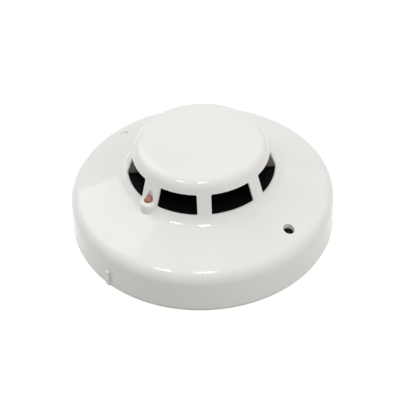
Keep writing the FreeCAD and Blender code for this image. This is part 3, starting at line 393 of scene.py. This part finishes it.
def screen_tree():
    """Geometry tree of the screen: bars between two rims, in one finish."""
    tree, given, result = new_geometry_tree("insect_screen_bars", SCREEN_INPUTS)
    half = tree.calc("MULTIPLY", given["Thickness"], 0.5)
    middle = tree.calc("SUBTRACT", given["Outer Radius"], half)
    joined = tree.add("GeometryNodeJoinGeometry")
    for part in (screen_bars(tree, given, middle), *screen_rims(tree, given, middle)):
        tree.fill(joined, {"Geometry": part})
    solid = tree.add("GeometryNodeRealizeInstances", {"Geometry": joined.outputs["Geometry"]})
    finished = {"Geometry": solid.outputs["Geometry"], "Material": given["Finish"]}
    tree.fill(result, {"Geometry": tree.add("GeometryNodeSetMaterial", finished).outputs[0]})
    return tree.tree


def grown_piece(name, group, sizes):
    """Plain mesh object made by a geometry tree with these sizes."""
    seed = bpy.data.objects.new(name, bpy.data.meshes.new(name))
    bpy.context.scene.collection.objects.link(seed)
    modifier = seed.modifiers.new("grow", "NODES")
    modifier.node_group = group
    for item in group.interface.items_tree:
        if item.in_out == "INPUT":
            modifier[item.identifier] = sizes[item.name]
    depsgraph = bpy.context.evaluated_depsgraph_get()
    mesh = bpy.data.meshes.new_from_object(seed.evaluated_get(depsgraph), depsgraph=depsgraph)
    seed.modifiers.remove(modifier)
    seed.data = mesh
    mesh.name = name
    return seed


def make_insect_screen():
    """Fine bars that stand for the plain slotted ring."""
    low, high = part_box("screen_ring")
    sizes = {
        "Outer Radius": high[0],
        "Thickness": SCREEN_THICKNESS,
        "Bottom": low[2],
        "Top": high[2],
        "Rim": SCREEN_RIM,
        "Bars": SCREEN_BARS,
        "Bar Width": SCREEN_BAR_WIDTH,
        "Rim Steps": SCREEN_RIM_STEPS,
        "Finish": finishes["screen_black"],
    }
    screen = grown_piece("insect_screen", screen_tree(), sizes)
    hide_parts("screen_ring")
    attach(screen, "head")


make_insect_screen()

# ---------------------------------------------------------------- camera, light and floor

VIEW_AZIMUTH = math.radians(-46.1)
VIEW_ELEVATION = math.radians(43.0)
VIEW_DISTANCE = 375.8 * MM
VIEW_ROLL = math.radians(-2.02)
# Lens and sensor in millimetres, shifts in sensor widths
LENS = 87.4
SENSOR_WIDTH = 36.0
SHIFT_RIGHT, SHIFT_UP = -0.0079, 0.0342
NEAREST, FARTHEST = 0.01, 20

WORLD_LIGHT = 0.33
WHITE = (1, 1, 1, 1)
LAMP_TARGET = Vector((0, 0, 20 * MM))
# name, azimuth from the camera, elevation, distance, diameter, power, shows in gloss
LAMPS = [
    ("left_softbox", -133, 46, 0.9, 0.68, 1.34, True),
    ("right_softbox", 128, 38, 0.9, 0.68, 0.42, True),
    ("right_lamp", 1.4, 73, 0.6, 0.1, 0.5, True),
    ("left_lamp", -52, 63, 0.6, 0.1, 0.34, True),
    ("left_fill", -95, 30, 0.9, 0.6, 1.34, False),
    ("right_fill", 60, 35, 0.9, 0.6, 2.49, False),
    ("back_fill", 180, 55, 0.9, 0.6, 0.72, False),
]

FLOOR_HALF = 1.5
FLOOR_DROP = 0.2 * MM
FLOOR_PAPER = (0.5, 0.485, 0.45, 1)
FLOOR_GLOW = 0.75


def direction(azimuth, elevation):
    """Unit vector from the detector, angles in radians."""
    flat = math.cos(elevation)
    return Vector((flat * math.cos(azimuth), flat * math.sin(azimuth), math.sin(elevation)))


def make_camera():
    """Camera aimed at the middle of the detector's back, with a small roll and shift."""
    data = bpy.data.cameras.new("camera")
    data.lens = LENS
    data.sensor_width = SENSOR_WIDTH
    data.shift_x = SHIFT_RIGHT
    data.shift_y = SHIFT_UP
    data.clip_start = NEAREST
    data.clip_end = FARTHEST
    camera = bpy.data.objects.new("camera", data)
    back = direction(VIEW_AZIMUTH, VIEW_ELEVATION)
    right = Vector((0, 0, 1)).cross(back).normalized()
    up = back.cross(right)
    turn = Matrix((right, up, back)).transposed().to_4x4() @ Matrix.Rotation(VIEW_ROLL, 4, "Z")
    camera.matrix_world = Matrix.Translation(back * VIEW_DISTANCE) @ turn
    bpy.context.scene.collection.objects.link(camera)
    bpy.context.scene.camera = camera


def make_lamp(name, azimuth, elevation, distance, diameter, power, in_gloss):
    """Round soft lamp, placed by azimuth from the camera and elevation in degrees."""
    data = bpy.data.lights.new(name, "AREA")
    data.shape = "DISK"
    data.size = diameter
    data.energy = power
    lamp = bpy.data.objects.new(name, data)
    out = direction(VIEW_AZIMUTH + math.radians(azimuth), math.radians(elevation))
    turn = out.to_track_quat("Z", "Y").to_matrix().to_4x4()
    lamp.matrix_world = Matrix.Translation(LAMP_TARGET + out * distance) @ turn
    lamp.visible_glossy = in_gloss
    bpy.context.scene.collection.objects.link(lamp)


def seen_directly(tree):
    """1 for camera, glossy and transmission rays, else 0."""
    path = tree.add("ShaderNodeLightPath").outputs
    shown = tree.calc("MAXIMUM", path["Is Camera Ray"], path["Is Glossy Ray"])
    return tree.calc("MAXIMUM", shown, path["Is Transmission Ray"])


def make_world(strength):
    """White surroundings that light the detector less than they show."""
    world = bpy.data.worlds.new("studio")
    world.use_nodes = True
    world.node_tree.nodes.clear()
    tree = Tree(world.node_tree)
    white = tree.add("ShaderNodeBackground", {"Color": WHITE, "Strength": 1.0})
    soft = tree.add("ShaderNodeBackground", {"Color": WHITE, "Strength": strength})
    choice = {"Fac": seen_directly(tree), 1: soft.outputs[0], 2: white.outputs[0]}
    mixed = tree.add("ShaderNodeMixShader", choice)
    tree.add("ShaderNodeOutputWorld", {"Surface": mixed.outputs[0]})
    bpy.context.scene.world = world


def floor_paper():
    """Warm white paper that looks brighter than the light it gives back."""
    material = bpy.data.materials.new("floor_paper")
    material.use_nodes = True
    material.node_tree.nodes.clear()
    tree = Tree(material.node_tree)
    paper = tree.add("ShaderNodeBsdfDiffuse", {"Color": FLOOR_PAPER}).outputs[0]
    glow = tree.add("ShaderNodeEmission", {"Color": WHITE, "Strength": FLOOR_GLOW})
    lit = tree.add("ShaderNodeAddShader", {0: paper, 1: glow.outputs[0]}).outputs[0]
    mixed = tree.add("ShaderNodeMixShader", {"Fac": seen_directly(tree), 1: paper, 2: lit})
    tree.add("ShaderNodeOutputMaterial", {"Surface": mixed.outputs[0]})
    return material


def make_floor():
    """Square sheet just under the detector's back."""
    mesh = bpy.data.meshes.new("floor")
    turns = ((-1, -1), (1, -1), (1, 1), (-1, 1))
    corners = [(x * FLOOR_HALF, y * FLOOR_HALF, -FLOOR_DROP) for x, y in turns]
    mesh.from_pydata(corners, [], [(0, 1, 2, 3)])
    mesh.materials.append(floor_paper())
    floor = bpy.data.objects.new("floor", mesh)
    bpy.context.scene.collection.objects.link(floor)


make_camera()
make_world(WORLD_LIGHT)
make_floor()
for lamp in LAMPS:
    make_lamp(*lamp)
bpy.context.scene.view_settings.view_transform = "Standard"
